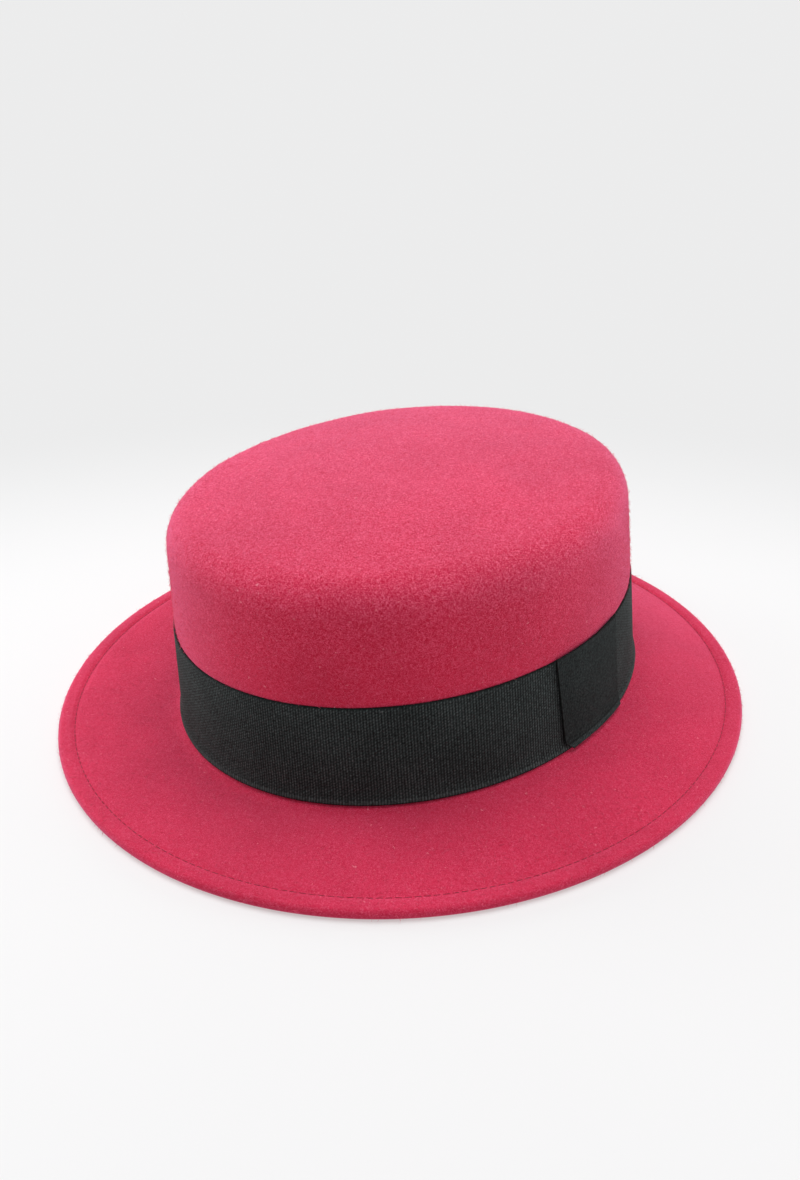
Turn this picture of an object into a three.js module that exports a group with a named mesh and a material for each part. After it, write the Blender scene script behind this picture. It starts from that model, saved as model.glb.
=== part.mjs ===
// Wool felt boater hat: one felt body blocked into crown and brim, a ribbon band round the
// foot of the crown, and a short ribbon tab that covers the band's join.
// Millimetres, +Z up. The front of the hat faces -Y and the wearer's left side is +X.
// The origin is the middle of the brim's outline, on the surface that the brim rests on.
import * as THREE from 'three';
import { mergeVertices } from 'three/addons/utils/BufferGeometryUtils.js';

// Head oval. Radii are those of a circle midway between the oval's two half axes,
// measured on the outside of the felt at the break, where crown and brim meet.
const HEAD_RADIUS = 94.6;
const OVAL = 5.8;               // half length minus half width of the oval, halved
const EDGE_OVAL = 4.8;          // the same for the edge of the brim, which is a little rounder

// Felt body
const FELT = 2;                 // thickness of the felt
const BREAK_HEIGHT = 10.4;      // height of the break above the resting surface
const CROWN_HEIGHT = 87;        // from the break to the top of the crown
const CROWN_TAPER = 0.059;      // inward lean of the wall, per millimetre of height
const SHOULDER_RADIUS = 12.5;   // rounding between wall and top
const TIP_DOME = 4;             // rise of the top, from its edge to its middle
const TIP_SLOPE = 6;            // degrees, slope of the top where it meets the rounding
const BREAK_DROP = 1.5;         // how far the brim's corner lies below the band's lower edge
const BREAK_FILLET = 5.6;       // reach of the rounding between wall and brim
const BRIM_WIDTH = 47.8;
const HEM_WIDTH = 6.7;          // from the edge of the brim to the line of stitching
const HEM_TURN = 7.8;           // depth of the felt that is turned under and sewn down
const HEM_THICKNESS = 4;        // two layers of felt, pressed together
const STITCH_DENT = { depth: 0.5, halfWidth: 0.9 };

// The crown stands a little askew on the brim: it leans towards the front right
const CROWN_LEAN = 3.3;         // degrees
const LEAN_BEARING = -135;      // degrees from +X, counter-clockwise seen from above
const CROWN_SHIFT = new THREE.Vector3(1.6, 1.5, 0);

// Ribbon
const SEAT_GAP = 0.3;           // between each layer and the one it lies on
const RIBBON = 1;               // thickness
const BAND_WIDTH = 38.6;
const BAND_FLARE = { height: 7, out: 0.6 };   // the lower edge rides out over the rounding
const TAB_LENGTH = 41;           // along its upper edge
const TAB_TAPER = 3;            // the lower edge is this much shorter, at the front
const TAB_WIDTH = 39.3;
const TAB_THICKNESS = 1;
const TAB_RISE = 0.5;           // how far its lower edge lies above the band's

// Facets: steps round the hat, and along each stretch of a section
const STEPS_ROUND = 72;
const TIP_STEPS = 4;
const ROUNDING_STEPS = 6;
const BREAK_STEPS = 4;
const BRIM_STEPS = 5;
const BAND_ROWS = 5;
const TAB_COLUMNS = 12;
const TAB_ROWS = 7;

const HEM_RADIUS = HEAD_RADIUS + BRIM_WIDTH - HEM_WIDTH;
const EDGE_RADIUS = HEAD_RADIUS + BRIM_WIDTH;
const FILLET_RADIUS = HEAD_RADIUS + BREAK_FILLET;
const LEVEL_RADIUS = EDGE_RADIUS - HEM_TURN;      // the hem lies level from here outwards
const HEM_TOP = HEM_THICKNESS - BREAK_HEIGHT;
const WALL_TOP = CROWN_HEIGHT - TIP_DOME - SHOULDER_RADIUS;
const TIP_RADIUS = wallRadius(WALL_TOP) - SHOULDER_RADIUS;

const woolFelt = new THREE.MeshStandardMaterial({ color: 0xc22a4e, roughness: 0.95, metalness: 0 });
const bandRibbon = new THREE.MeshStandardMaterial({ color: 0x1d1d1e, roughness: 0.8, metalness: 0 });
const tabRibbon = new THREE.MeshStandardMaterial({ color: 0x212122, roughness: 0.8, metalness: 0 });

function wallRadius(height) {
  return HEAD_RADIUS - CROWN_TAPER * height;
}

// The outside of the felt from the middle of the top down to the line of stitching,
// as points of radius and height above the break.
function outerFelt() {
  const startAngle = THREE.MathUtils.degToRad(90 - TIP_SLOPE);
  const shoulder = new THREE.EllipseCurve(
    TIP_RADIUS, WALL_TOP, SHOULDER_RADIUS, SHOULDER_RADIUS, startAngle, Math.atan(CROWN_TAPER), true);
  const tipEdge = shoulder.getPoint(0);
  const tip = new THREE.QuadraticBezierCurve(
    new THREE.Vector2(0, CROWN_HEIGHT), new THREE.Vector2(tipEdge.x / 2, CROWN_HEIGHT), tipEdge);
  const wall = new THREE.LineCurve(
    shoulder.getPoint(1), new THREE.Vector2(wallRadius(BREAK_DROP), BREAK_DROP));
  const corner = new THREE.Vector2(wallRadius(-BREAK_DROP), -BREAK_DROP);
  const stitchStart = new THREE.Vector2(HEM_RADIUS - STITCH_DENT.halfWidth, HEM_TOP);
  const brimSlope = (stitchStart.y - corner.y) / (stitchStart.x - corner.x);
  const filletEnd = new THREE.Vector2(FILLET_RADIUS, corner.y + brimSlope * (FILLET_RADIUS - corner.x));
  const fillet = new THREE.QuadraticBezierCurve(wall.v2, corner, filletEnd);
  const brim = new THREE.LineCurve(filletEnd, stitchStart);
  return [
    ...tip.getPoints(TIP_STEPS).slice(0, -1),
    ...shoulder.getPoints(ROUNDING_STEPS).slice(0, -1),
    wall.v1,
    ...fillet.getPoints(BREAK_STEPS).slice(0, -1),
    ...brim.getPoints(BRIM_STEPS),
  ];
}

// The same line moved through the felt's thickness, to its inside.
function innerFelt(outer) {
  return outer.map((point, i) => {
    const before = outer[Math.max(i - 1, 0)];
    const after = outer[Math.min(i + 1, outer.length - 1)];
    const along = i === 0 ? new THREE.Vector2(1, 0) : after.clone().sub(before).normalize();
    return new THREE.Vector2(point.x + along.y * FELT, point.y - along.x * FELT);
  });
}

// The turned hem: dent of the stitching, rounded edge, flat underside and raw edge.
function hem() {
  const middle = HEM_THICKNESS / 2;
  const edge = new THREE.EllipseCurve(
    EDGE_RADIUS - middle, HEM_TOP - middle, middle, middle, Math.PI / 2, -Math.PI / 2, true);
  return [
    new THREE.Vector2(HEM_RADIUS, HEM_TOP - STITCH_DENT.depth),
    new THREE.Vector2(HEM_RADIUS + STITCH_DENT.halfWidth, HEM_TOP),
    ...edge.getPoints(ROUNDING_STEPS),
    new THREE.Vector2(LEVEL_RADIUS, -BREAK_HEIGHT),
  ];
}

// The ribbon band's closed section, lying on the wall of the crown.
function bandSection() {
  const heights = Array.from({ length: BAND_ROWS + 1 }, (_, row) => BAND_WIDTH * (row / BAND_ROWS) ** 2);
  const inner = heights.map((height) => new THREE.Vector2(bandInside(height), height));
  const outer = inner.map((point) => new THREE.Vector2(point.x + RIBBON, point.y));
  return [...outer, ...inner.reverse(), outer[0]];
}

// Radius of the band's inside: the wall, and a flare where the band meets the brim.
function bandInside(height) {
  const nearBrim = Math.max(0, 1 - height / BAND_FLARE.height);
  return wallRadius(height) + SEAT_GAP + BAND_FLARE.out * nearBrim ** 2;
}

// How oval the hat is at a radius: round at the middle of the top, and less so towards the edge.
function ovalAt(radius) {
  const acrossBrim = THREE.MathUtils.clamp((radius - HEAD_RADIUS) / BRIM_WIDTH, 0, 1);
  return Math.min(1, radius / TIP_RADIUS) * THREE.MathUtils.lerp(OVAL, EDGE_OVAL, acrossBrim);
}

// Turns a round shape about +Z into the hat's oval, and sets it on the leaning crown. The lean
// and shift are whole on the crown and fade out across the brim, so that the hem stays level.
function fitToHead(geometry) {
  const positions = geometry.attributes.position;
  const bearing = THREE.MathUtils.degToRad(LEAN_BEARING);
  const leanAxis = new THREE.Vector3(-Math.sin(bearing), Math.cos(bearing), 0);
  const point = new THREE.Vector3();
  for (let i = 0; i < positions.count; i += 1) {
    point.fromBufferAttribute(positions, i);
    const radius = Math.hypot(point.x, point.y);
    const stretch = radius > 0 ? ovalAt(radius) / radius : 0;
    const acrossBrim = (radius - FILLET_RADIUS) / (LEVEL_RADIUS - FILLET_RADIUS);
    const share = 1 - THREE.MathUtils.clamp(acrossBrim, 0, 1);
    point.x *= 1 - stretch;
    point.y *= 1 + stretch;
    point.applyAxisAngle(leanAxis, THREE.MathUtils.degToRad(CROWN_LEAN) * share);
    point.addScaledVector(CROWN_SHIFT, share);
    positions.setXYZ(i, point.x, point.y, point.z + BREAK_HEIGHT);
  }
  geometry.deleteAttribute('normal');
  geometry.deleteAttribute('uv');
  const closed = mergeVertices(geometry, 1e-3);
  closed.computeVertexNormals();
  return closed;
}

function revolve(section) {
  return new THREE.LatheGeometry(section, STEPS_ROUND).rotateX(Math.PI / 2);
}

function feltBody() {
  const outer = outerFelt();
  const section = [...outer, ...hem(), ...innerFelt(outer).reverse()];
  return new THREE.Mesh(fitToHead(revolve(section.reverse())), woolFelt);
}

function ribbonBand() {
  return new THREE.Mesh(fitToHead(revolve(bandSection())), bandRibbon);
}

// A flat strip bent round the crown over the band, middle on the wearer's left side.
function bandTab() {
  const strip = new THREE.BoxGeometry(TAB_THICKNESS, TAB_LENGTH, TAB_WIDTH, 1, TAB_COLUMNS, TAB_ROWS);
  const positions = strip.attributes.position;
  for (let i = 0; i < positions.count; i += 1) {
    const up = positions.getZ(i) / TAB_WIDTH + 0.5;
    const forward = 0.5 - positions.getY(i) / TAB_LENGTH;
    const rise = TAB_RISE + TAB_WIDTH * up;
    const angle = (positions.getY(i) + TAB_TAPER * (1 - up) * forward) / (HEAD_RADIUS + OVAL);
    const radius = bandInside(rise) + RIBBON + SEAT_GAP + TAB_THICKNESS / 2 + positions.getX(i);
    positions.setXYZ(i, radius * Math.cos(angle), radius * Math.sin(angle), rise);
  }
  return new THREE.Mesh(fitToHead(strip), tabRibbon);
}

const hat = new THREE.Group();
for (const [name, mesh] of Object.entries({
  felt_body: feltBody(),
  ribbon_band: ribbonBand(),
  band_tab: bandTab(),
})) {
  mesh.name = name;
  hat.add(mesh);
}

export default hat;
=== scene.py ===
import math
import bpy
from mathutils import Matrix, Vector


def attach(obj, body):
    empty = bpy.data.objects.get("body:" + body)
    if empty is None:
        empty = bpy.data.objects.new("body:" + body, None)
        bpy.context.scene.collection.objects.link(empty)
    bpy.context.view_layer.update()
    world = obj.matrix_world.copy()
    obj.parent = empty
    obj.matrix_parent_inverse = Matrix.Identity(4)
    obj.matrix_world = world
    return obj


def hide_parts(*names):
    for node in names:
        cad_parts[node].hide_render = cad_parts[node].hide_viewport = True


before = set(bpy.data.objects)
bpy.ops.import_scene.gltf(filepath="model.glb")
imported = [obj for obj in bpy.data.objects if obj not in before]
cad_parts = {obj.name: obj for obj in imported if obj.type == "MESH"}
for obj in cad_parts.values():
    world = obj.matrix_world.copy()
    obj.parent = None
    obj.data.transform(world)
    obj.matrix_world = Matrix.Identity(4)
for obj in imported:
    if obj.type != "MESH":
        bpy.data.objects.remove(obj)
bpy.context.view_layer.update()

# The view: from above, off the hat's front left, with a lens of middling width.
# The camera stands where the ovals of brim, ribbon and crown fall on the photograph's outlines.
CAMERA_PLACE = (0.2590, -0.30663, 0.2548)
CAMERA_HEADING = math.radians(40.542)
CAMERA_PITCH = math.radians(27.817)
CAMERA_ROLL = math.radians(-0.075)
PHOTO_HEIGHT = 1180
FOCAL_LENGTH_IN_PIXELS = 1100

camera_turn = (
    Matrix.Rotation(CAMERA_HEADING, 3, "Z")
    @ Matrix.Rotation(math.pi / 2 - CAMERA_PITCH, 3, "X")
    @ Matrix.Rotation(CAMERA_ROLL, 3, "Z")
)
bpy.ops.object.camera_add(location=CAMERA_PLACE, rotation=camera_turn.to_euler())
camera = bpy.context.object
camera.data.sensor_fit = "VERTICAL"
camera.data.lens = camera.data.sensor_height * FOCAL_LENGTH_IN_PIXELS / PHOTO_HEIGHT
camera.data.clip_start = 0.01
bpy.context.scene.camera = camera

# The studio: a plain white floor that runs out into an even pale grey, under soft boxes.
# The main light hangs above and behind the hat, so its front is the darkest side.
FLOOR_SIZE = 40
FLOOR_WHITE = (0.77, 0.77, 0.775, 1)
FLOOR_GLOW = (0.95, 0.95, 0.952, 1)
GLOW_SHARE = 0.45
BACKDROP_GREY = (0.84, 0.84, 0.842, 1)
BACKDROP_START = 0.44
BACKDROP_END = 0.76
TENT_LIGHT = 0.36


def add_node(tree, kind, **values):
    node = tree.nodes.new(kind)
    for name, value in values.items():
        if name in node.inputs:
            node.inputs[name].default_value = value
        else:
            setattr(node, name, value)
    return node


def map_range(tree, low, high, to_low=0, to_high=1):
    """A node that turns values from low to high into values from to_low to to_high."""
    limits = {"From Min": low, "From Max": high, "To Min": to_low, "To Max": to_high}
    return add_node(tree, "ShaderNodeMapRange", **limits)


def soft_box(name, place, aim, size, power):
    bpy.ops.object.light_add(type="AREA", location=place)
    light = bpy.context.object
    light.name = name
    light.data.shape = "DISK"
    light.data.size = size
    light.data.energy = power
    light.visible_camera = False
    light.rotation_euler = (Vector(aim) - Vector(place)).to_track_quat("-Z", "Y").to_euler()


bpy.ops.object.select_all(action="DESELECT")
bpy.ops.mesh.primitive_plane_add(size=FLOOR_SIZE)
floor = bpy.context.object
floor.name = "studio_floor"
paper = bpy.data.materials.new("white_paper")
paper.use_nodes = True
tree = paper.node_tree
shader = tree.nodes["Principled BSDF"]
shader.inputs["Base Color"].default_value = FLOOR_WHITE
shader.inputs["Roughness"].default_value = 0.9
shader.inputs["Specular IOR Level"].default_value = 0.1
where = add_node(tree, "ShaderNodeTexCoord")
away = add_node(tree, "ShaderNodeVectorMath", operation="DISTANCE")
away.inputs[1].default_value = (CAMERA_PLACE[0], CAMERA_PLACE[1], 0)
far = map_range(tree, BACKDROP_START, BACKDROP_END)
far.interpolation_type = "SMOOTHSTEP"
glow = add_node(tree, "ShaderNodeEmission", Color=FLOOR_GLOW)
near_floor = add_node(tree, "ShaderNodeMixShader", Fac=GLOW_SHARE)
backdrop = add_node(tree, "ShaderNodeEmission", Color=BACKDROP_GREY)
ground = add_node(tree, "ShaderNodeMixShader")
tree.links.new(where.outputs["Object"], away.inputs[0])
tree.links.new(away.outputs["Value"], far.inputs["Value"])
tree.links.new(shader.outputs["BSDF"], near_floor.inputs[1])
tree.links.new(glow.outputs["Emission"], near_floor.inputs[2])
tree.links.new(far.outputs["Result"], ground.inputs["Fac"])
tree.links.new(near_floor.outputs["Shader"], ground.inputs[1])
tree.links.new(backdrop.outputs["Emission"], ground.inputs[2])
tree.links.new(ground.outputs["Shader"], tree.nodes["Material Output"].inputs["Surface"])
floor.data.materials.append(paper)

soft_box("overhead_box", (-0.07, 0.08, 1.2), (0, 0, 0), 1.3, 13.6)
soft_box("left_box", (-0.95, -0.4, 0.12), (0, 0, 0.05), 0.7, 10.4)
soft_box("right_box", (0.7, 0.8, 0.1), (0, 0, 0.05), 0.7, 6.8)
soft_box("back_box", (-0.65, 0.76, 0.2), (0, 0, 0.05), 0.8, 3)
world = bpy.data.worlds.new("tent_light")
world.use_nodes = True
tree = world.node_tree
tree.nodes["Background"].inputs["Color"].default_value = (1, 1, 1, 1)
tree.nodes["Background"].inputs["Strength"].default_value = TENT_LIGHT
sky = add_node(tree, "ShaderNodeBackground", Color=BACKDROP_GREY)
seen = add_node(tree, "ShaderNodeLightPath")
both = add_node(tree, "ShaderNodeMixShader")
tree.links.new(seen.outputs["Is Camera Ray"], both.inputs["Fac"])
tree.links.new(tree.nodes["Background"].outputs["Background"], both.inputs[1])
tree.links.new(sky.outputs["Background"], both.inputs[2])
tree.links.new(both.outputs["Shader"], tree.nodes["World Output"].inputs["Surface"])
bpy.context.scene.world = world
bpy.context.scene.view_settings.view_transform = "Standard"

# The felt body: crown and brim blocked from one wool felt, 2 mm thick and dyed crimson.
# The brim's edge is turned under and stitched down, and the crown stands a little askew on it.
MM = 0.001
HEAD_RADIUS = 94.6 * MM
OVAL = 5.8 * MM
EDGE_OVAL = 4.8 * MM
FELT = 2 * MM
BREAK_HEIGHT = 10.4 * MM
CROWN_HEIGHT = 87 * MM
CROWN_TAPER = 0.059
SHOULDER_RADIUS = 12.5 * MM
TIP_DOME = 4 * MM
TIP_SLOPE = math.radians(6)
BREAK_DROP = 1.5 * MM
BREAK_FILLET = 5.6 * MM
BRIM_WIDTH = 47.8 * MM
HEM_WIDTH = 6.7 * MM
HEM_TURN = 7.8 * MM
HEM_THICKNESS = 4 * MM
DENT_DEPTH = 0.22 * MM
DENT_DRAWN = 0.45 * MM
LEVEL_BEARING = math.radians(-50)
DENT_HALF_WIDTH = 1.5 * MM
DENT_SIDES = 0.7
RAW_EDGE_ROUNDING = 0.4 * MM
CROWN_LEAN = math.radians(3.3)
LEAN_BEARING = math.radians(-135)
CROWN_SHIFT = Vector((1.6 * MM, 1.5 * MM, 0))
BAND_WIDTH = 38.6 * MM
CROWN_SWELL = 0.42 * MM
SWELL_ABOVE_RIBBON = 1.2 * MM
SWELL_UNDER_RIBBON = 0.4 * MM
UNEVEN_SPACING = 0.045
UNEVEN_DEPTH = 0.8 * MM
FELT_STEPS_ROUND = 180
TIP_STEPS = 10
CAP_RING = 3
SHOULDER_STEPS = 8
UPPER_WALL_STEPS = 6
LOWER_WALL_STEPS = 7
BREAK_STEPS = 6
BRIM_STEPS = 9
EDGE_STEPS = 10
RINGS_UNDER_EDGE = 5

EDGE_RADIUS = HEAD_RADIUS + BRIM_WIDTH
HEM_RADIUS = EDGE_RADIUS - HEM_WIDTH
LEVEL_RADIUS = EDGE_RADIUS - HEM_TURN
FILLET_RADIUS = HEAD_RADIUS + BREAK_FILLET
HEM_TOP = HEM_THICKNESS - BREAK_HEIGHT
WALL_TOP = CROWN_HEIGHT - TIP_DOME - SHOULDER_RADIUS


def wall_radius(height):
    return HEAD_RADIUS - CROWN_TAPER * height


TIP_RADIUS = wall_radius(WALL_TOP) - SHOULDER_RADIUS


def arc(centre, radius, start, end, steps):
    angles = [start + (end - start) * step / steps for step in range(steps + 1)]
    return [centre + radius * Vector((math.cos(angle), math.sin(angle))) for angle in angles]


def bend(start, corner, end, steps):
    shares = [step / steps for step in range(steps + 1)]
    return [(1 - t) ** 2 * start + 2 * t * (1 - t) * corner + t**2 * end for t in shares]


def line(start, end, steps):
    return [start.lerp(end, step / steps) for step in range(1, steps)]


# Sections are points of radius and height above the break, where crown and brim meet.
# Above the ribbon, which presses it in, the felt swells by over half of the ribbon's thickness.
swell = Vector((CROWN_SWELL, CROWN_SWELL))
shoulder_centre = Vector((TIP_RADIUS, WALL_TOP)) + swell
tip_angle = math.pi / 2 - TIP_SLOPE
shoulder = arc(shoulder_centre, SHOULDER_RADIUS, tip_angle, math.atan(CROWN_TAPER), SHOULDER_STEPS)
tip_top = Vector((0, CROWN_HEIGHT + CROWN_SWELL))
tip = bend(tip_top, Vector((shoulder[0].x / 2, tip_top.y)), shoulder[0], TIP_STEPS)
over_ribbon = Vector((wall_radius(BAND_WIDTH) + CROWN_SWELL, BAND_WIDTH + SWELL_ABOVE_RIBBON))
under_ribbon = Vector((wall_radius(BAND_WIDTH), BAND_WIDTH - SWELL_UNDER_RIBBON))
wall_foot = Vector((wall_radius(BREAK_DROP), BREAK_DROP))
corner = Vector((wall_radius(-BREAK_DROP), -BREAK_DROP))
stitch_start = Vector((HEM_RADIUS - DENT_HALF_WIDTH, HEM_TOP))
brim_start = corner.lerp(stitch_start, (FILLET_RADIUS - corner.x) / (stitch_start.x - corner.x))
outside = tip[CAP_RING:-1] + shoulder
outside += line(shoulder[-1], over_ribbon, UPPER_WALL_STEPS) + [over_ribbon, under_ribbon]
outside += line(under_ribbon, wall_foot, LOWER_WALL_STEPS)
outside += bend(wall_foot, corner, brim_start, BREAK_STEPS)
outside += line(brim_start, stitch_start, BRIM_STEPS) + [stitch_start]
along = [outside[min(i + 1, len(outside) - 1)] - outside[max(i - 1, 0)] for i in range(len(outside))]
inside = [p + FELT * Vector((a.y, -a.x)) / a.length for p, a in zip(outside, along)]
edge_centre = Vector((EDGE_RADIUS - HEM_THICKNESS / 2, HEM_TOP - HEM_THICKNESS / 2))
edge = arc(edge_centre, HEM_THICKNESS / 2, math.pi / 2, -math.pi / 2, EDGE_STEPS)
dent = [
    Vector((HEM_RADIUS - DENT_HALF_WIDTH / 2, HEM_TOP - DENT_DEPTH * DENT_SIDES)),
    Vector((HEM_RADIUS, HEM_TOP - DENT_DEPTH)),
    Vector((HEM_RADIUS + DENT_HALF_WIDTH / 2, HEM_TOP - DENT_DEPTH * DENT_SIDES)),
    Vector((HEM_RADIUS + DENT_HALF_WIDTH, HEM_TOP)),
    Vector(((HEM_RADIUS + DENT_HALF_WIDTH + edge_centre.x) / 2, HEM_TOP)),
]
raw_edge = [
    Vector((LEVEL_RADIUS + RAW_EDGE_ROUNDING, -BREAK_HEIGHT)),
    Vector((LEVEL_RADIUS, -BREAK_HEIGHT + RAW_EDGE_ROUNDING)),
]
felt_section = outside + dent + edge + raw_edge + inside[::-1]


def half_axes(radius):
    """Half width and half length of the oval whose mean radius this is."""
    across_brim = min(1, max(0, (radius - HEAD_RADIUS) / BRIM_WIDTH))
    difference = min(1, radius / TIP_RADIUS) * (OVAL + (EDGE_OVAL - OVAL) * across_brim)
    return Vector((radius - difference, radius + difference))


def first_ring(name, steps_round, radius, height):
    """Starts a piece as one oval ring of edges, and leaves it in edit mode."""
    bpy.ops.object.select_all(action="DESELECT")
    bpy.ops.mesh.primitive_circle_add(vertices=steps_round, radius=1, location=(0, 0, 0))
    piece = bpy.context.object
    piece.name = name
    bpy.ops.object.mode_set(mode="EDIT")
    bpy.ops.mesh.select_all(action="SELECT")
    width, length = half_axes(radius)
    bpy.ops.transform.resize(value=(width, length, 1), center_override=(0, 0, 0))
    bpy.ops.transform.translate(value=(0, 0, height))
    return piece


def next_ring(before, after):
    """Extrudes the selected ring from one point of the section to the next."""
    bpy.ops.mesh.extrude_edges_move()
    old, new = half_axes(before.x), half_axes(after.x)
    bpy.ops.transform.resize(value=(new.x / old.x, new.y / old.y, 1), center_override=(0, 0, 0))
    bpy.ops.transform.translate(value=(0, 0, after.y - before.y))


def weigh_ring(piece, group, weight):
    piece.vertex_groups.active_index = piece.vertex_groups[group].index
    bpy.context.scene.tool_settings.vertex_group_weight = weight
    bpy.ops.object.vertex_group_assign()


felt = first_ring("felt_body_wool", FELT_STEPS_ROUND, felt_section[0].x, felt_section[0].y)
felt.vertex_groups.new(name="crown")
felt.vertex_groups.new(name="nap")
napped_rings = len(outside) + len(dent) + len(edge) - RINGS_UNDER_EDGE
for number, point in enumerate(felt_section):
    if number:
        next_ring(felt_section[number - 1], point)
    across_brim = (point.x - FILLET_RADIUS) / (LEVEL_RADIUS - FILLET_RADIUS)
    weigh_ring(felt, "crown", min(1, max(0, 1 - across_brim)))
    covered = point.x > TIP_RADIUS and -BREAK_DROP / 2 < point.y < BAND_WIDTH
    weigh_ring(felt, "nap", 1 if number < napped_rings and not covered else 0)
bpy.ops.mesh.fill_grid()
bpy.ops.mesh.select_all(action="DESELECT")
bpy.ops.mesh.select_mode(type="EDGE")
bpy.ops.mesh.select_non_manifold()
bpy.ops.mesh.fill_grid()
bpy.ops.mesh.select_all(action="SELECT")
bpy.ops.mesh.normals_make_consistent(inside=False)
bpy.ops.object.mode_set(mode="OBJECT")
tip_points = [v.index for v in felt.data.vertices if v.co.z > felt_section[0].y - FELT]
felt.vertex_groups["crown"].add(tip_points, 1, "REPLACE")
cap_points = [v.index for v in felt.data.vertices if v.co.z > felt_section[0].y - FELT / 2]
felt.vertex_groups["nap"].add(cap_points, 1, "REPLACE")

# The crown is pushed askew about the break, and the push fades out across the brim.
lean_axis = Vector((-math.sin(LEAN_BEARING), math.cos(LEAN_BEARING), 0))
lean = Matrix.Translation(CROWN_SHIFT) @ Matrix.Rotation(CROWN_LEAN, 4, lean_axis)
to_break = Matrix.Translation((0, 0, BREAK_HEIGHT))
bpy.ops.object.empty_add(location=(0, 0, 0))
block = bpy.context.object
hook = felt.modifiers.new("askew", "HOOK")
hook.object = block
hook.vertex_group = "crown"
hook.matrix_inverse = Matrix.Identity(4)
block.matrix_world = lean
bpy.context.view_layer.update()


def apply_modifiers(piece):
    bpy.ops.object.select_all(action="DESELECT")
    piece.select_set(True)
    bpy.context.view_layer.objects.active = piece
    for modifier in list(piece.modifiers):
        bpy.ops.object.modifier_apply(modifier=modifier.name)


def place(piece, matrix):
    """Moves a finished piece with its mesh, so that its object stays at the origin."""
    piece.matrix_world = matrix
    bpy.ops.object.select_all(action="DESELECT")
    piece.select_set(True)
    bpy.context.view_layer.objects.active = piece
    bpy.ops.object.transform_apply(location=True, rotation=True, scale=True)


apply_modifiers(felt)
bpy.data.objects.remove(block)
place(felt, to_break)


# The stitching draws the hem in. At the front left it lies almost level.
def drawn_in(turn):
    """How far the hem is drawn in at a turn round the brim, beyond the dent that is there all round."""
    return DENT_DRAWN * min(1, 1 - math.cos(turn - LEVEL_BEARING))


hem_pull = felt.vertex_groups.new(name="hem_pull")
seam_half_width, seam_half_length = half_axes(HEM_RADIUS)
for point in felt.data.vertices:
    side, front = point.co.x / seam_half_width, point.co.y / seam_half_length
    off_seam = abs(math.hypot(side, front) - 1) * HEM_RADIUS
    if point.co.z > HEM_THICKNESS / 2 and off_seam < DENT_HALF_WIDTH:
        share = (1 - off_seam / DENT_HALF_WIDTH) * drawn_in(math.atan2(front, side)) / DENT_DRAWN
        hem_pull.add([point.index], share, "REPLACE")
drawn = felt.modifiers.new("drawn_in", "DISPLACE")
drawn.direction = "Z"
drawn.mid_level = 0
drawn.strength = -DENT_DRAWN
drawn.vertex_group = "hem_pull"
smooth = felt.modifiers.new("blocked", "SUBSURF")
smooth.levels = smooth.render_levels = 1
uneven = bpy.data.textures.new("hand_blocked", "CLOUDS")
uneven.noise_scale = UNEVEN_SPACING
press = felt.modifiers.new("uneven", "DISPLACE")
press.texture = uneven
press.texture_coords = "LOCAL"
press.vertex_group = "crown"
press.strength = UNEVEN_DEPTH
apply_modifiers(felt)
bpy.ops.object.shade_smooth()

WOOL_DARK = (0.45, 0.002, 0.026, 1)
WOOL = (0.615, 0.027, 0.078, 1)
WOOL_LIGHT = (0.76, 0.124, 0.225, 1)
WOOL_SPECK = (0.86, 0.32, 0.40, 1)
# Painted shade and painted light: colour multipliers that darken the brim and wall and lighten and pink
# the shoulder and top.
BRIM_PAINTED_SHADE = (0.97, 0.95, 0.97, 1)
WALL_PAINTED_SHADE = (0.985, 0.82, 0.85, 1)
SHOULDER_PAINTED_LIGHT = (1.045, 1.15, 1.1, 1)
TOP_PAINTED_LIGHT_AND_SHEEN = (1.09, 1.3, 1.2, 1)
PATCH_DARK = (0.82, 0.8, 0.8, 1)
PATCH_LIGHT = (1.1, 1.1, 1.1, 1)
NO_SPECK = (0, 0, 0, 1)
FULL_SPECK = (0.6, 0.6, 0.6, 1)
NOISE_MIDDLE = 0.5
STRAND_HALF_WIDTH = 0.045
STRAND_TONE = 0.85
BETWEEN_STRANDS = 0.4
LOW_WALL = 45 * MM
LOW_CONTRAST = 2.7
TOP_CONTRAST = 8
TOP_HEIGHT = BREAK_HEIGHT + CROWN_HEIGHT
wool = bpy.data.materials.new("crimson_wool_felt")
wool.use_nodes = True
tree = wool.node_tree
shader = tree.nodes["Principled BSDF"]
shader.inputs["Roughness"].default_value = 0.95
shader.inputs["Specular IOR Level"].default_value = 0.15
shader.inputs["Sheen Weight"].default_value = 0.55
shader.inputs["Sheen Roughness"].default_value = 0.36
shader.inputs["Sheen Tint"].default_value = (1.0, 0.40, 0.74, 1)
where = add_node(tree, "ShaderNodeTexCoord")


def wool_noise(scale, detail, roughness, distortion):
    noise = add_node(
        tree, "ShaderNodeTexNoise", Scale=scale, Detail=detail, Roughness=roughness, Distortion=distortion
    )
    tree.links.new(where.outputs["Object"], noise.inputs["Vector"])
    return noise.outputs["Fac"]


def wool_ramp(value, *stops):
    ramp = add_node(tree, "ShaderNodeValToRGB")
    while len(ramp.color_ramp.elements) < len(stops):
        ramp.color_ramp.elements.new(0.5)
    for element, (position, colour) in zip(ramp.color_ramp.elements, stops):
        element.position = position
        element.color = colour
    tree.links.new(value, ramp.inputs["Fac"])
    return ramp.outputs["Color"]


def wool_mix(kind, share, first, second):
    mix = add_node(tree, "ShaderNodeMix", data_type="RGBA", blend_type=kind)
    for socket, value in ((mix.inputs[0], share), (mix.inputs[6], first), (mix.inputs[7], second)):
        if isinstance(value, bpy.types.NodeSocket):
            tree.links.new(value, socket)
        else:
            socket.default_value = value
    return mix.outputs[2]


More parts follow.
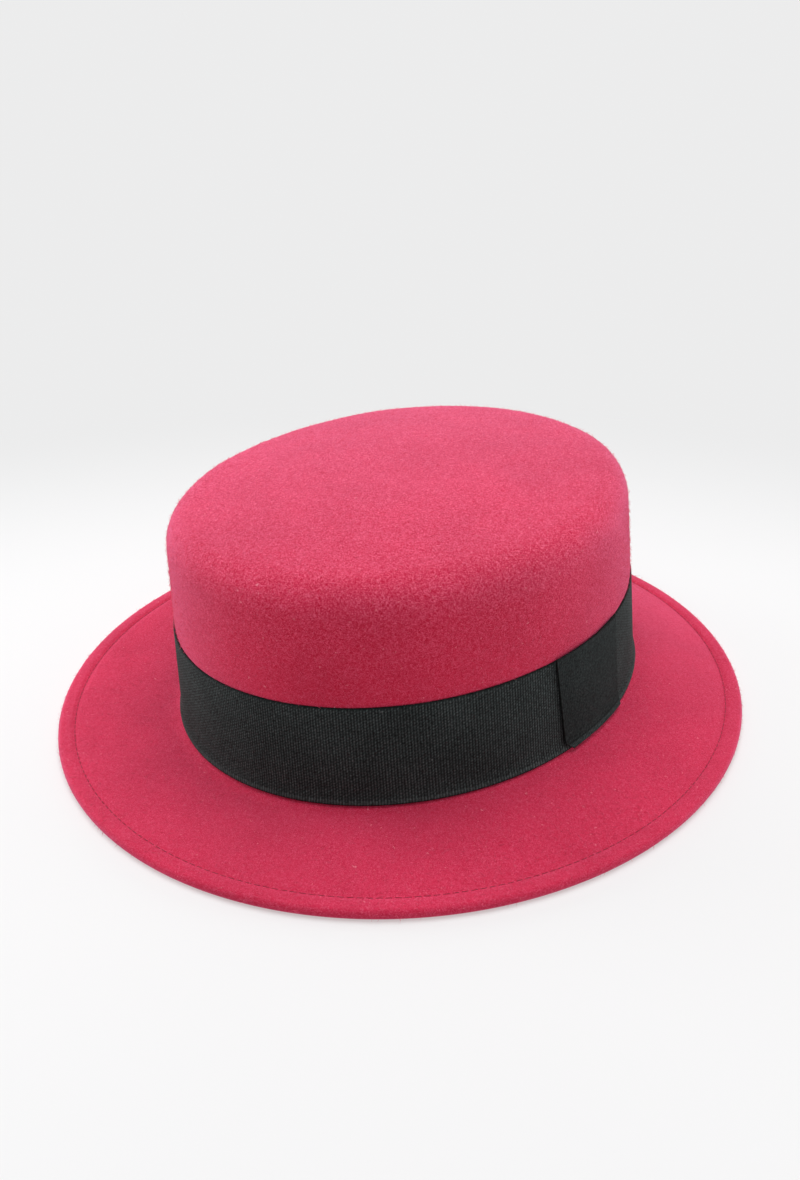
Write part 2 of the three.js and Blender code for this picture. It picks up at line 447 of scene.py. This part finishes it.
def wool_strands(value):
    """Thin curling lines, where a noise passes through its middle."""
    from_middle = add_node(tree, "ShaderNodeMath", operation="SUBTRACT")
    from_middle.inputs[1].default_value = NOISE_MIDDLE
    tree.links.new(value, from_middle.inputs[0])
    size = add_node(tree, "ShaderNodeMath", operation="ABSOLUTE")
    tree.links.new(from_middle.outputs["Value"], size.inputs[0])
    strand = map_range(tree, 0, STRAND_HALF_WIDTH, STRAND_TONE, BETWEEN_STRANDS)
    tree.links.new(size.outputs["Value"], strand.inputs["Value"])
    return strand.outputs["Result"]


clumps = wool_noise(1750, 3, 0.65, 1.6)
fibres = wool_noise(2700, 2, 0.6, 2.2)
patches = wool_noise(26, 3, 0.5, 0.3)
specks = wool_noise(900, 2, 0.4, 0.6)
strands = wool_strands(wool_noise(1200, 1, 0.5, 1.2))
grain = wool_mix("MIX", 0.5, clumps, fibres)
grain = wool_mix("MIX", 0.25, grain, strands)
height = add_node(tree, "ShaderNodeSeparateXYZ")
tree.links.new(where.outputs["Object"], height.inputs["Vector"])
contrast = map_range(tree, LOW_WALL, TOP_HEIGHT, LOW_CONTRAST, TOP_CONTRAST)
tree.links.new(height.outputs["Z"], contrast.inputs["Value"])
centred = add_node(tree, "ShaderNodeMath", operation="SUBTRACT")
centred.inputs[1].default_value = NOISE_MIDDLE
tree.links.new(grain, centred.inputs[0])
crisp = add_node(tree, "ShaderNodeMath", operation="MULTIPLY_ADD")
tree.links.new(centred.outputs["Value"], crisp.inputs[0])
tree.links.new(contrast.outputs["Result"], crisp.inputs[1])
crisp.inputs[2].default_value = NOISE_MIDDLE
colour = wool_ramp(crisp.outputs["Value"], (0.1, WOOL_DARK), (0.5, WOOL), (0.9, WOOL_LIGHT))
colour = wool_mix("MULTIPLY", 0.5, colour, wool_ramp(patches, (0.3, PATCH_DARK), (0.7, PATCH_LIGHT)))

# Painted light and shade by height: the brim and wall are painted darker, the wall with less green and
# blue, and the shoulder and top lighter and pinker, as painted light and painted sheen from above.
painted_light_height = map_range(tree, BREAK_HEIGHT, TOP_HEIGHT)
tree.links.new(height.outputs["Z"], painted_light_height.inputs["Value"])
painted_light_by_height = wool_ramp(
    painted_light_height.outputs["Result"],
    (0, BRIM_PAINTED_SHADE),
    (0.5, WALL_PAINTED_SHADE),
    (0.78, WALL_PAINTED_SHADE),
    (0.88, SHOULDER_PAINTED_LIGHT),
    (1, TOP_PAINTED_LIGHT_AND_SHEEN),
)
colour = wool_mix("MULTIPLY", 1, colour, painted_light_by_height)
colour = wool_mix("MIX", wool_ramp(specks, (0.71, NO_SPECK), (0.79, FULL_SPECK)), colour, WOOL_SPECK)
tree.links.new(colour, shader.inputs["Base Color"])
bump = add_node(tree, "ShaderNodeBump", Strength=0.5, Distance=0.5 * MM)
tree.links.new(grain, bump.inputs["Height"])
tree.links.new(bump.outputs["Normal"], shader.inputs["Normal"])
felt.data.materials.append(wool)
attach(felt, "root")
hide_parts("felt_body")

# The hem's stitching: one row of crimson sewing thread, painted darker than the felt, partly as the
# thread's own colour and partly as painted shade in the dent's crease.
# It runs round the brim in the dent that it pulls, and holds the turned edge down.
STITCH_PITCH = 3.1 * MM
STITCH_LENGTH = 2.3 * MM
THREAD_RADIUS = 0.2 * MM
THREAD_ROUNDING = 0.6 * THREAD_RADIUS
THREAD_SINK = 0.3 * THREAD_RADIUS
THREAD_FOLLOWS = 0.75
# Thread colour with painted crease shade: darker than the felt so the seam shows a dark core.
THREAD_AND_CREASE_SHADE_COLOUR = (0.33, 0.011, 0.034, 1)
SEAM_SLICES = 7200

bpy.ops.object.select_all(action="DESELECT")
bpy.ops.mesh.primitive_cylinder_add(
    vertices=6, radius=THREAD_RADIUS, depth=STITCH_LENGTH, rotation=(math.pi / 2, 0, 0)
)
stitch = bpy.context.object
bpy.ops.object.transform_apply(location=True, rotation=True, scale=True)
bpy.ops.object.mode_set(mode="EDIT")
bpy.ops.mesh.select_mode(type="EDGE")
bpy.ops.mesh.select_all(action="SELECT")
bpy.ops.mesh.bevel(offset=THREAD_ROUNDING, segments=1, affect="EDGES")
bpy.ops.object.mode_set(mode="OBJECT")
bpy.ops.object.shade_smooth()
turns = [math.tau * step / SEAM_SLICES for step in range(SEAM_SLICES)]
speeds = [math.hypot(seam_half_width * math.sin(t), seam_half_length * math.cos(t)) for t in turns]
strides = [speed * math.tau / SEAM_SLICES for speed in speeds]
seam_length = sum(strides)
stitch_count = round(seam_length / STITCH_PITCH)
stitches = []
walked = 0
for turn, stride in zip(turns, strides):
    if walked >= len(stitches) * seam_length / stitch_count and len(stitches) < stitch_count:
        copy = stitch.copy()
        copy.data = stitch.data.copy()
        bpy.context.collection.objects.link(copy)
        heading = math.atan2(seam_half_length * math.cos(turn), -seam_half_width * math.sin(turn))
        depth = DENT_DEPTH + THREAD_FOLLOWS * drawn_in(turn) + THREAD_SINK
        side, front = seam_half_width * math.cos(turn), seam_half_length * math.sin(turn)
        spot = Matrix.Translation((side, front, HEM_THICKNESS - depth))
        copy.matrix_world = spot @ Matrix.Rotation(heading - math.pi / 2, 4, "Z")
        stitches.append(copy)
    walked += stride
bpy.data.objects.remove(stitch)
bpy.ops.object.select_all(action="DESELECT")
for copy in stitches:
    copy.select_set(True)
bpy.context.view_layer.objects.active = stitches[0]
bpy.ops.object.join()
stitching = bpy.context.object
stitching.name = "hem_stitching"
bpy.ops.object.transform_apply(location=True, rotation=True, scale=True)
thread = bpy.data.materials.new("crimson_thread")
thread.use_nodes = True
tree = thread.node_tree
shader = tree.nodes["Principled BSDF"]
shader.inputs["Roughness"].default_value = 0.7
where = add_node(tree, "ShaderNodeTexCoord")
twist = add_node(tree, "ShaderNodeTexNoise", Scale=2400, Detail=2)
tree.links.new(where.outputs["Object"], twist.inputs["Vector"])
shades = add_node(tree, "ShaderNodeMix", data_type="RGBA", blend_type="MULTIPLY")
shades.inputs[0].default_value = 0.6
shades.inputs[6].default_value = THREAD_AND_CREASE_SHADE_COLOUR
tree.links.new(twist.outputs["Color"], shades.inputs[7])
tree.links.new(shades.outputs[2], shader.inputs["Base Color"])
stitching.data.materials.append(thread)
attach(stitching, "root")

# The ribbon band: a black elastic ribbon 38.6 mm wide, sewn into a ring and drawn tight round the
# foot of the crown. Its threads cross in a fine square weave, with plain ribs along the lower selvedge.
SEAT_GAP = 0.15 * MM
RIBBON = 0.7 * MM
FLARE_HEIGHT = 7 * MM
FLARE_OUT = 1.05 * MM
THREADS_ROUND = 556
WEAVE_ROW = 0.58 * MM
THREAD_RISE = 0.12 * MM
SELVEDGE = 2.2 * MM
SELVEDGE_ROUNDING = 0.25 * MM
WELD = 0.01 * MM
HALF_LIFT = 0.5
BETWEEN_RIBS = 0.4
GROOVE_LIFT = 0.25
WEFT_LIFT = 0.25
WEFT_FLOOR = 0.05
WARP_DIP = 0.38
BAND_THREAD = (0.0118, 0.0148, 0.0146, 1)
BAND_LINT = 0.05


def band_inside(height):
    near_brim = max(0, 1 - height / FLARE_HEIGHT)
    return wall_radius(height) + SEAT_GAP + FLARE_OUT * near_brim**2


def raise_points(piece, wanted, depth):
    """Pushes the wanted points of a ring-shaped piece outwards."""
    bpy.ops.object.mode_set(mode="OBJECT")
    piece.data.polygons.foreach_set("select", [False] * len(piece.data.polygons))
    piece.data.edges.foreach_set("select", [False] * len(piece.data.edges))
    piece.data.vertices.foreach_set("select", wanted)
    bpy.ops.object.mode_set(mode="EDIT")
    bpy.ops.mesh.select_mode(type="VERT")
    raised = 1 + depth / HEAD_RADIUS
    bpy.ops.transform.resize(value=(raised, raised, 1), center_override=(0, 0, 0))
    bpy.ops.object.mode_set(mode="OBJECT")


def weave(piece, columns, bottom, top, rows, face_radius, relief, groove):
    """Raises the threads of a ribbon's face, and notes on each point how far its thread stands out."""
    bpy.ops.object.mode_set(mode="OBJECT")
    lifts = []
    for point in piece.data.vertices:
        height = point.co.z
        width, length = half_axes(face_radius(height))
        on_face = math.hypot(point.co.x / width, point.co.y / length) > 1 - 1e-4
        column = round(math.atan2(point.co.y / length, point.co.x / width) * columns / math.tau)
        row = round((height - bottom) / (top - bottom) * rows)
        # The lifts also set the ribbon's painted light: raised threads are painted lighter as painted
        # highlights, and the gaps and the groove above the selvedge darker as painted shade.
        if not on_face:
            lift = 0
        elif height < bottom + SELVEDGE:
            lift = BETWEEN_RIBS if column % 2 else 1
        elif height < bottom + SELVEDGE + groove:
            lift = GROOVE_LIFT
        else:
            weft = WEFT_LIFT if row % 2 else 0
            lift = weft + WEFT_FLOOR if column % 2 else 1 - WARP_DIP * ((row + column // 2) % 2)
            lift = HALF_LIFT + (lift - HALF_LIFT) * relief
        lifts.append(lift)
    raise_points(piece, [lift > HALF_LIFT for lift in lifts], THREAD_RISE)
    noted = piece.data.attributes.new("thread_lift", "FLOAT", "POINT")
    noted.data.foreach_set("value", lifts)


def band_face(height):
    return band_inside(height) + RIBBON


band_rows = round(BAND_WIDTH / WEAVE_ROW)
face_heights = [BAND_WIDTH * row / band_rows for row in range(1, band_rows)]
back_heights = [BAND_WIDTH, FLARE_HEIGHT, FLARE_HEIGHT / 2, 0]
band_section = [Vector((band_inside(0), 0)), Vector((band_face(0) - SELVEDGE_ROUNDING, 0))]
band_section += [Vector((band_face(height), height)) for height in face_heights]
band_section += [Vector((band_face(BAND_WIDTH) - SELVEDGE_ROUNDING, BAND_WIDTH))]
band_section += [Vector((band_inside(height), height)) for height in back_heights]
band = first_ring("ribbon_band_weave", 2 * THREADS_ROUND, band_section[0].x, band_section[0].y)
for before, after in zip(band_section, band_section[1:]):
    next_ring(before, after)
bpy.ops.mesh.select_all(action="SELECT")
bpy.ops.mesh.remove_doubles(threshold=WELD)
bpy.ops.mesh.normals_make_consistent(inside=False)
weave(band, 2 * THREADS_ROUND, 0, BAND_WIDTH, band_rows, band_face, 1, 0)
place(band, to_break @ lean)
bpy.ops.object.shade_smooth()

NOISE_LIMITS = (0.3, 0.7)
LINT_LIMITS = (0.74, 0.8)
YARN_SHADES = (0.3, 1.7)
WEAR_SHADES = (0.85, 1.15)
# How far the thread colour is scaled down in the weave's gaps and up on raised threads, as painted shade
# and painted highlight.
LIFT_PAINTED_LIGHT_AND_SHADE = (0.8, 5.8)
ribbon_cloth = bpy.data.node_groups.new("ribbon_cloth", "ShaderNodeTree")
ribbon_cloth.interface.new_socket("Thread", in_out="INPUT", socket_type="NodeSocketColor")
ribbon_cloth.interface.new_socket("Lift", in_out="INPUT", socket_type="NodeSocketFloat")
ribbon_cloth.interface.new_socket("Lint", in_out="INPUT", socket_type="NodeSocketFloat")
ribbon_cloth.interface.new_socket("Colour", in_out="OUTPUT", socket_type="NodeSocketColor")
ribbon_cloth.interface.new_socket("Height", in_out="OUTPUT", socket_type="NodeSocketFloat")
tree = ribbon_cloth
given = add_node(tree, "NodeGroupInput")
made = add_node(tree, "NodeGroupOutput")
where = add_node(tree, "ShaderNodeTexCoord")
yarn = add_node(tree, "ShaderNodeTexNoise", Scale=1250, Detail=3, Roughness=0.65)
wear = add_node(tree, "ShaderNodeTexNoise", Scale=45, Detail=3, Roughness=0.5)
dust = add_node(tree, "ShaderNodeTexNoise", Scale=420, Detail=2, Roughness=0.4)
for noise in (yarn, wear, dust):
    tree.links.new(where.outputs["Object"], noise.inputs["Vector"])
shade = map_range(tree, *NOISE_LIMITS, *YARN_SHADES)
age = map_range(tree, *NOISE_LIMITS, *WEAR_SHADES)
fleck = map_range(tree, *LINT_LIMITS)
# Painted highlight and painted shade: the thread colour is scaled by the square of its lift, lighter on
# raised threads and darker in the gaps.
depth = add_node(tree, "ShaderNodeMath", operation="POWER")
depth.inputs[1].default_value = 2
painted_lift_light = map_range(tree, 0, 1, *LIFT_PAINTED_LIGHT_AND_SHADE)
painted_weave_light = add_node(tree, "ShaderNodeVectorMath", operation="SCALE")
tint = add_node(tree, "ShaderNodeVectorMath", operation="SCALE")
aged = add_node(tree, "ShaderNodeVectorMath", operation="SCALE")
flecked = add_node(tree, "ShaderNodeVectorMath", operation="MULTIPLY_ADD")
lint = add_node(tree, "ShaderNodeMath", operation="MULTIPLY")
tree.links.new(yarn.outputs["Fac"], shade.inputs["Value"])
tree.links.new(wear.outputs["Fac"], age.inputs["Value"])
tree.links.new(dust.outputs["Fac"], fleck.inputs["Value"])
tree.links.new(given.outputs["Lift"], depth.inputs[0])
tree.links.new(depth.outputs["Value"], painted_lift_light.inputs["Value"])
tree.links.new(given.outputs["Thread"], painted_weave_light.inputs[0])
tree.links.new(painted_lift_light.outputs["Result"], painted_weave_light.inputs["Scale"])
tree.links.new(painted_weave_light.outputs["Vector"], tint.inputs[0])
tree.links.new(shade.outputs["Result"], tint.inputs["Scale"])
tree.links.new(tint.outputs["Vector"], aged.inputs[0])
tree.links.new(age.outputs["Result"], aged.inputs["Scale"])
tree.links.new(fleck.outputs["Result"], lint.inputs[0])
tree.links.new(given.outputs["Lint"], lint.inputs[1])
tree.links.new(lint.outputs["Value"], flecked.inputs[0])
flecked.inputs[1].default_value = (1, 1, 1)
tree.links.new(aged.outputs["Vector"], flecked.inputs[2])
tree.links.new(flecked.outputs["Vector"], made.inputs["Colour"])
tree.links.new(yarn.outputs["Fac"], made.inputs["Height"])


def ribbon_material(name, thread_colour, lint_amount):
    material = bpy.data.materials.new(name)
    material.use_nodes = True
    tree = material.node_tree
    shader = tree.nodes["Principled BSDF"]
    shader.inputs["Roughness"].default_value = 0.75
    shader.inputs["Specular IOR Level"].default_value = 0.06
    cloth = add_node(tree, "ShaderNodeGroup", node_tree=ribbon_cloth)
    cloth.inputs["Thread"].default_value = thread_colour
    cloth.inputs["Lint"].default_value = lint_amount
    lift = add_node(tree, "ShaderNodeAttribute", attribute_name="thread_lift")
    tree.links.new(lift.outputs["Fac"], cloth.inputs["Lift"])
    bump = add_node(tree, "ShaderNodeBump", Strength=0.4, Distance=0.15 * MM)
    tree.links.new(cloth.outputs["Colour"], shader.inputs["Base Color"])
    tree.links.new(cloth.outputs["Height"], bump.inputs["Height"])
    tree.links.new(bump.outputs["Normal"], shader.inputs["Normal"])
    return material


band.data.materials.append(ribbon_material("black_ribbon", BAND_THREAD, BAND_LINT))
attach(band, "root")
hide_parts("ribbon_band")

# The tab: a short piece of the same ribbon, its ends folded under, over the join of the band.
# It stands on the wearer's left, a little proud of the band, and its front end slants in at the foot.
TAB_LENGTH = 41 * MM
TAB_TAPER = 3 * MM
TAB_WIDTH = 39.3 * MM
TAB_THICKNESS = 0.8 * MM
TAB_RISE = 0.5 * MM
TAB_CORNER = 3 * MM
TAB_CORNER_REACH = 9 * MM
TAB_THREADS_ROUND = 640
TAB_RELIEF = 0.35
FOLD_ROUNDING = 0.3 * MM
FOLD_ANGLE = math.radians(50)
TAB_THREAD = (0.0083, 0.0108, 0.0107, 1)
TAB_LINT = 0.02


def tab_face(height):
    return band_face(height) + SEAT_GAP + TAB_THICKNESS


tab_rows = round(TAB_WIDTH / WEAVE_ROW)
tab_heights = [TAB_RISE + TAB_WIDTH * row / tab_rows for row in range(tab_rows + 1)]
tab_section = [Vector((tab_face(height), height)) for height in tab_heights]
tab = first_ring("band_tab_weave", 2 * TAB_THREADS_ROUND, tab_section[0].x, tab_section[0].y)
for before, after in zip(tab_section, tab_section[1:]):
    next_ring(before, after)
bpy.ops.object.mode_set(mode="OBJECT")
for point in tab.data.vertices:
    width, length = half_axes(tab_face(point.co.z))
    turn = math.atan2(point.co.y / length, point.co.x / width)
    point.select = abs(turn) > TAB_LENGTH / 2 / (HEAD_RADIUS + OVAL)
bpy.ops.object.mode_set(mode="EDIT")
bpy.ops.mesh.select_mode(type="VERT")
bpy.ops.mesh.delete(type="VERT")
bpy.ops.mesh.select_all(action="SELECT")
bpy.ops.mesh.normals_make_consistent(inside=False)
tab_top = TAB_RISE + TAB_WIDTH
weave(tab, 2 * TAB_THREADS_ROUND, TAB_RISE, tab_top, tab_rows, tab_face, TAB_RELIEF, WEAVE_ROW)
slant = tab.vertex_groups.new(name="slant")
for point in tab.data.vertices:
    up = (point.co.z - TAB_RISE) / TAB_WIDTH
    back = (point.co.y + TAB_LENGTH / 2) / TAB_LENGTH
    at_corner = max(0, 1 - back * TAB_LENGTH / TAB_CORNER_REACH)
    shift = TAB_TAPER * (1 - up) * (1 - back) + max(0, TAB_CORNER - up * TAB_WIDTH) * at_corner
    slant.add([point.index], shift / (TAB_TAPER + TAB_CORNER), "REPLACE")
bpy.ops.object.empty_add(location=(0, 0, 0))
pull = bpy.context.object
hook = tab.modifiers.new("slanted", "HOOK")
hook.object = pull
hook.vertex_group = "slant"
hook.matrix_inverse = Matrix.Identity(4)
pull.matrix_world = Matrix.Rotation((TAB_TAPER + TAB_CORNER) / (HEAD_RADIUS - OVAL), 4, "Z")
bpy.context.view_layer.update()
fold = tab.modifiers.new("folded", "SOLIDIFY")
fold.thickness = TAB_THICKNESS
fold.offset = -1
soften = tab.modifiers.new("soft_folds", "BEVEL")
soften.width = FOLD_ROUNDING
soften.segments = 3
soften.limit_method = "ANGLE"
soften.angle_limit = FOLD_ANGLE
apply_modifiers(tab)
bpy.data.objects.remove(pull)
place(tab, to_break @ lean)
bpy.ops.object.shade_smooth()
tab.data.materials.append(ribbon_material("black_tab_ribbon", TAB_THREAD, TAB_LINT))
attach(tab, "root")
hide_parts("band_tab")

# The felt's nap: loose wool fibres, one or two millimetres long, that stand off the felt or lie on it.
# They soften its outlines. Geometry nodes scatter one fibre over the outside of the felt.
NAP_PER_SQUARE_METRE = 600000
FIBRE_LENGTHS = (0.7 * MM, 2.2 * MM)
FIBRE_RADIUS = 0.035
FIBRE_TILTS = (math.radians(50), math.radians(88))
NAP_SEED = 7
# The fibres are painted lighter and pinker than the felt, partly as the loose wool's own colour and
# partly as painted sheen along the outlines.
NAP_COLOUR_AND_SHEEN = (0.86, 0.19, 0.30, 1)

bpy.ops.object.select_all(action="DESELECT")
bpy.ops.mesh.primitive_cone_add(
    vertices=3, radius1=FIBRE_RADIUS, depth=1, end_fill_type="NOTHING", location=(0, 0, 0.5)
)
fibre = bpy.context.object
bpy.ops.object.transform_apply(location=True, rotation=True, scale=True)
nap = bpy.data.objects.new("felt_nap", felt.data.copy())
bpy.context.collection.objects.link(nap)
scatter = bpy.data.node_groups.new("scattered_fibres", "GeometryNodeTree")
scatter.interface.new_socket("Geometry", in_out="INPUT", socket_type="NodeSocketGeometry")
scatter.interface.new_socket("Geometry", in_out="OUTPUT", socket_type="NodeSocketGeometry")
tree = scatter
given = add_node(tree, "NodeGroupInput")
made = add_node(tree, "NodeGroupOutput")
mask = add_node(tree, "GeometryNodeInputNamedAttribute", data_type="FLOAT", Name="nap")
density = add_node(tree, "ShaderNodeMath", operation="MULTIPLY")
density.inputs[1].default_value = NAP_PER_SQUARE_METRE
points = add_node(tree, "GeometryNodeDistributePointsOnFaces", Seed=NAP_SEED)
lay = add_node(tree, "FunctionNodeRandomValue", data_type="FLOAT_VECTOR", Seed=NAP_SEED + 1)
lay.inputs["Min"].default_value = (FIBRE_TILTS[0], 0, 0)
lay.inputs["Max"].default_value = (FIBRE_TILTS[1], 0, math.tau)
turn = add_node(tree, "FunctionNodeEulerToRotation")
stand = add_node(tree, "FunctionNodeRotateRotation", rotation_space="LOCAL")
length = add_node(tree, "FunctionNodeRandomValue", data_type="FLOAT", Seed=NAP_SEED + 2)
length.inputs[2].default_value, length.inputs[3].default_value = FIBRE_LENGTHS
source = add_node(tree, "GeometryNodeObjectInfo")
source.inputs["Object"].default_value = fibre
grow = add_node(tree, "GeometryNodeInstanceOnPoints")
real = add_node(tree, "GeometryNodeRealizeInstances")
tree.links.new(given.outputs["Geometry"], points.inputs["Mesh"])
tree.links.new(mask.outputs["Attribute"], density.inputs[0])
tree.links.new(density.outputs["Value"], points.inputs["Density"])
tree.links.new(lay.outputs["Value"], turn.inputs["Euler"])
tree.links.new(points.outputs["Rotation"], stand.inputs["Rotation"])
tree.links.new(turn.outputs["Rotation"], stand.inputs["Rotate By"])
tree.links.new(points.outputs["Points"], grow.inputs["Points"])
tree.links.new(source.outputs["Geometry"], grow.inputs["Instance"])
tree.links.new(stand.outputs["Rotation"], grow.inputs["Rotation"])
tree.links.new(length.outputs[1], grow.inputs["Scale"])
tree.links.new(grow.outputs["Instances"], real.inputs["Geometry"])
tree.links.new(real.outputs["Geometry"], made.inputs["Geometry"])
growth = nap.modifiers.new("fibres", "NODES")
growth.node_group = scatter
apply_modifiers(nap)
bpy.data.objects.remove(fibre)
nap.data.materials.clear()
loose_wool = bpy.data.materials.new("loose_wool")
loose_wool.use_nodes = True
tree = loose_wool.node_tree
shader = tree.nodes["Principled BSDF"]
shader.inputs["Roughness"].default_value = 1
shader.inputs["Specular IOR Level"].default_value = 0.1
where = add_node(tree, "ShaderNodeTexCoord")
dye = add_node(tree, "ShaderNodeTexNoise", Scale=700, Detail=1)
tree.links.new(where.outputs["Object"], dye.inputs["Vector"])
colour = add_node(tree, "ShaderNodeMix", data_type="RGBA")
colour.inputs[6].default_value = WOOL
colour.inputs[7].default_value = NAP_COLOUR_AND_SHEEN
tree.links.new(dye.outputs["Fac"], colour.inputs[0])
tree.links.new(colour.outputs[2], shader.inputs["Base Color"])
nap.data.materials.append(loose_wool)
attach(nap, "root")
